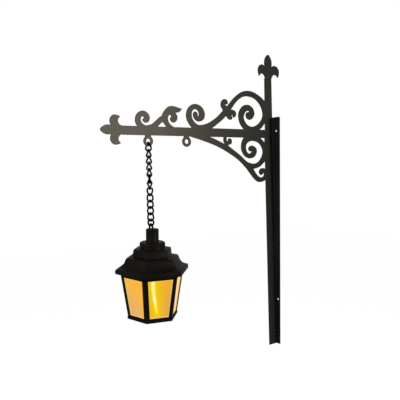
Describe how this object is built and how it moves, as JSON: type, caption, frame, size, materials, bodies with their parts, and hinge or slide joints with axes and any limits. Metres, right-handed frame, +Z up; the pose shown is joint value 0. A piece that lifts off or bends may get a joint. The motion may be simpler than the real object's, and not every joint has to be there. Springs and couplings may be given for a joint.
{
  "type": "wall lamp",
  "caption": "Flat scrollwork wall bracket in sheet steel with a short curb chain carrying a small six-sided amber lantern lit by an LED tea light.",
  "frame": {"origin": "middle of the flange's flat wall face, where the bracket lies against the wall", "axes": "+X into the wall, -X out along the arm, +Z up, -Y the side that the flange turns to"},
  "size_m": [0.2927, 0.093, 0.43],
  "materials": {
    "bracket_coat": "dark brown-black powder coat with a fine orange peel, satin",
    "chain_black": "blackened steel wire, half gloss",
    "lantern_black": "black moulded plastic with a fine satin grain",
    "amber_pane": "amber translucent sheet, lit from behind",
    "ivory_plastic": "smooth ivory moulded plastic",
    "flame_plastic": "frosted warm translucent plastic",
    "led_lens": "clear epoxy lens",
    "board_green": "green lacquered board",
    "bright_steel": "plain plated steel",
    "switch_ivory": "moulded plastic"
  },
  "bodies": {
    "bracket": {"bracket_plate": "bracket_coat"},
    "link_01": {"chain_link_01": "chain_black"},
    "link_02": {"chain_link_02": "chain_black"},
    "link_03": {"chain_link_03": "chain_black"},
    "link_04": {"chain_link_04": "chain_black"},
    "link_05": {"chain_link_05": "chain_black"},
    "link_06": {"chain_link_06": "chain_black"},
    "link_07": {"chain_link_07": "chain_black"},
    "link_08": {"chain_link_08": "chain_black"},
    "link_09": {"chain_link_09": "chain_black"},
    "link_10": {"chain_link_10": "chain_black"},
    "link_11": {"chain_link_11": "chain_black"},
    "link_12": {"chain_link_12": "chain_black"},
    "link_13": {"chain_link_13": "chain_black"},
    "lantern": {"lantern_bail": "chain_black", "lantern_roof": "lantern_black", "lantern_cage": "lantern_black", "pane_1": "amber_pane", "pane_2": "amber_pane", "pane_3": "amber_pane", "pane_4": "amber_pane", "pane_5": "amber_pane", "pane_6": "amber_pane", "base_plate": "lantern_black", "base_screw_1": "bright_steel", "base_screw_2": "bright_steel", "base_screw_3": "bright_steel", "tea_light_cup": "ivory_plastic", "flame_diffuser": "flame_plastic", "flicker_led": "led_lens", "led_board": "board_green", "coin_cell": "bright_steel", "cell_contact_top": "bright_steel", "cell_contact_side": "bright_steel"},
    "battery_door": {"battery_door": "lantern_black"},
    "switch": {"switch_slider": "switch_ivory"}
  },
  "joints": [
    {"name": "link_01_swing", "type": "hinge", "parent": "bracket", "child": "link_01", "pos_m": [-0.2127, 0.00668, 0.12727], "axis": [1, 0, 0], "range_deg": [-30, 30]},
    {"name": "link_02_swing", "type": "hinge", "parent": "link_01", "child": "link_02", "pos_m": [-0.2127, 0.00668, 0.12203], "axis": [-0.682, -0.7314, 0], "range_deg": [-30, 30]},
    {"name": "link_03_swing", "type": "hinge", "parent": "link_02", "child": "link_03", "pos_m": [-0.2127, 0.00668, 0.11181], "axis": [-0.7314, 0.682, 0], "range_deg": [-30, 30]},
    {"name": "link_04_swing", "type": "hinge", "parent": "link_03", "child": "link_04", "pos_m": [-0.2127, 0.00668, 0.10609], "axis": [0.6428, 0.766, 0], "range_deg": [-30, 30]},
    {"name": "link_05_swing", "type": "hinge", "parent": "link_04", "child": "link_05", "pos_m": [-0.2127, 0.00668, 0.09587], "axis": [0.766, -0.6428, 0], "range_deg": [-30, 30]},
    {"name": "link_06_swing", "type": "hinge", "parent": "link_05", "child": "link_06", "pos_m": [-0.2127, 0.00668, 0.09015], "axis": [-0.9563, -0.2924, 0], "range_deg": [-30, 30]},
    {"name": "link_07_swing", "type": "hinge", "parent": "link_06", "child": "link_07", "pos_m": [-0.2127, 0.00668, 0.07993], "axis": [-0.2924, 0.9563, 0], "range_deg": [-30, 30]},
    {"name": "link_08_swing", "type": "hinge", "parent": "link_07", "child": "link_08", "pos_m": [-0.2127, 0.00668, 0.07421], "axis": [0.682, -0.7314, 0], "range_deg": [-30, 30]},
    {"name": "link_09_swing", "type": "hinge", "parent": "link_08", "child": "link_09", "pos_m": [-0.2127, 0.00668, 0.06399], "axis": [-0.7314, -0.682, 0], "range_deg": [-30, 30]},
    {"name": "link_10_swing", "type": "hinge", "parent": "link_09", "child": "link_10", "pos_m": [-0.2127, 0.00668, 0.05827], "axis": [-0.1564, 0.9877, 0], "range_deg": [-30, 30]},
    {"name": "link_11_swing", "type": "hinge", "parent": "link_10", "child": "link_11", "pos_m": [-0.2127, 0.00668, 0.04805], "axis": [0.9877, 0.1564, 0], "range_deg": [-30, 30]},
    {"name": "link_12_swing", "type": "hinge", "parent": "link_11", "child": "link_12", "pos_m": [-0.2127, 0.00668, 0.04233], "axis": [0.1564, -0.9877, 0], "range_deg": [-30, 30]},
    {"name": "link_13_swing", "type": "hinge", "parent": "link_12", "child": "link_13", "pos_m": [-0.2127, 0.00668, 0.03211], "axis": [-0.9877, -0.1564, 0], "range_deg": [-30, 30]},
    {"name": "lantern_swing", "type": "hinge", "parent": "link_13", "child": "lantern", "pos_m": [-0.2127, 0.00668, 0.02614], "axis": [0.9877, 0.1564, 0], "range_deg": [-30, 30]},
    {"name": "battery_door_turn", "type": "hinge", "parent": "lantern", "child": "battery_door", "pos_m": [-0.21146, 0.01168, -0.09002], "axis": [0.0052, 0.0593, -0.9982], "range_deg": [0, 40]},
    {"name": "switch_slide", "type": "slide", "parent": "lantern", "child": "switch", "axis": [0.9686, -0.2486, -0.0097], "range_m": [0, 0.004]}
  ]
}
